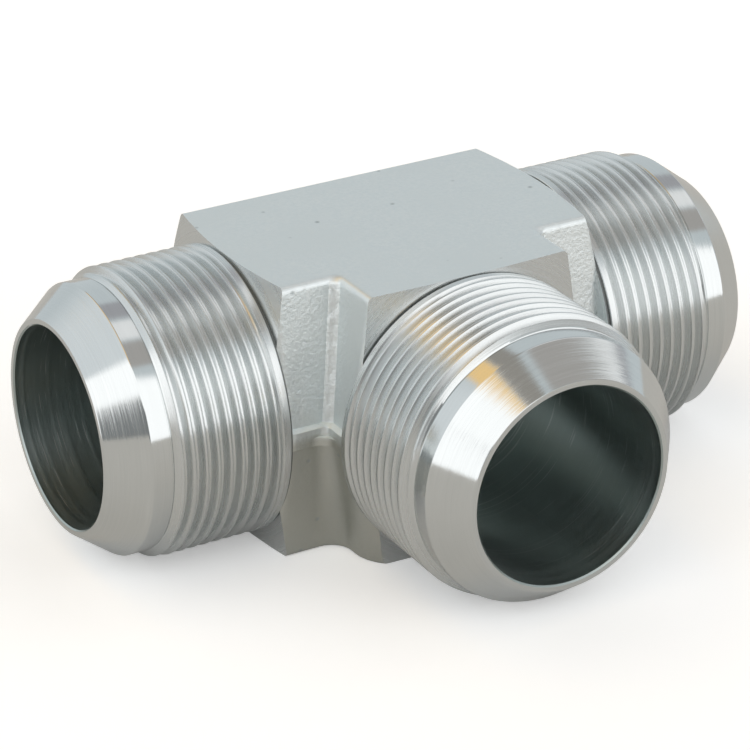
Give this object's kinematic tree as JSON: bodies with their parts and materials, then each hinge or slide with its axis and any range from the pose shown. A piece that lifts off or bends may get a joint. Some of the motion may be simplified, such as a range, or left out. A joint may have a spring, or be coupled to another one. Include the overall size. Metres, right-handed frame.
{
  "type": "flare tee fitting",
  "caption": "Union tee for hydraulic tube: forged block body with flat top and bottom, and a male thread with a 37 degree flare seat and a through bore at each end.",
  "frame": {"origin": "the point where the axis of the run bore and the axis of the branch bore cross", "axes": "+X along the run, -Y out of the branch, +Z out of the upper flat"},
  "size_m": [0.1188, 0.0812, 0.0476],
  "materials": {
    "steel": "zinc plated: forged faces matte and faintly grained, turned ends bright with fine turning marks"
  },
  "bodies": {
    "root": {"tee_body": "steel"}
  },
  "joints": []
}
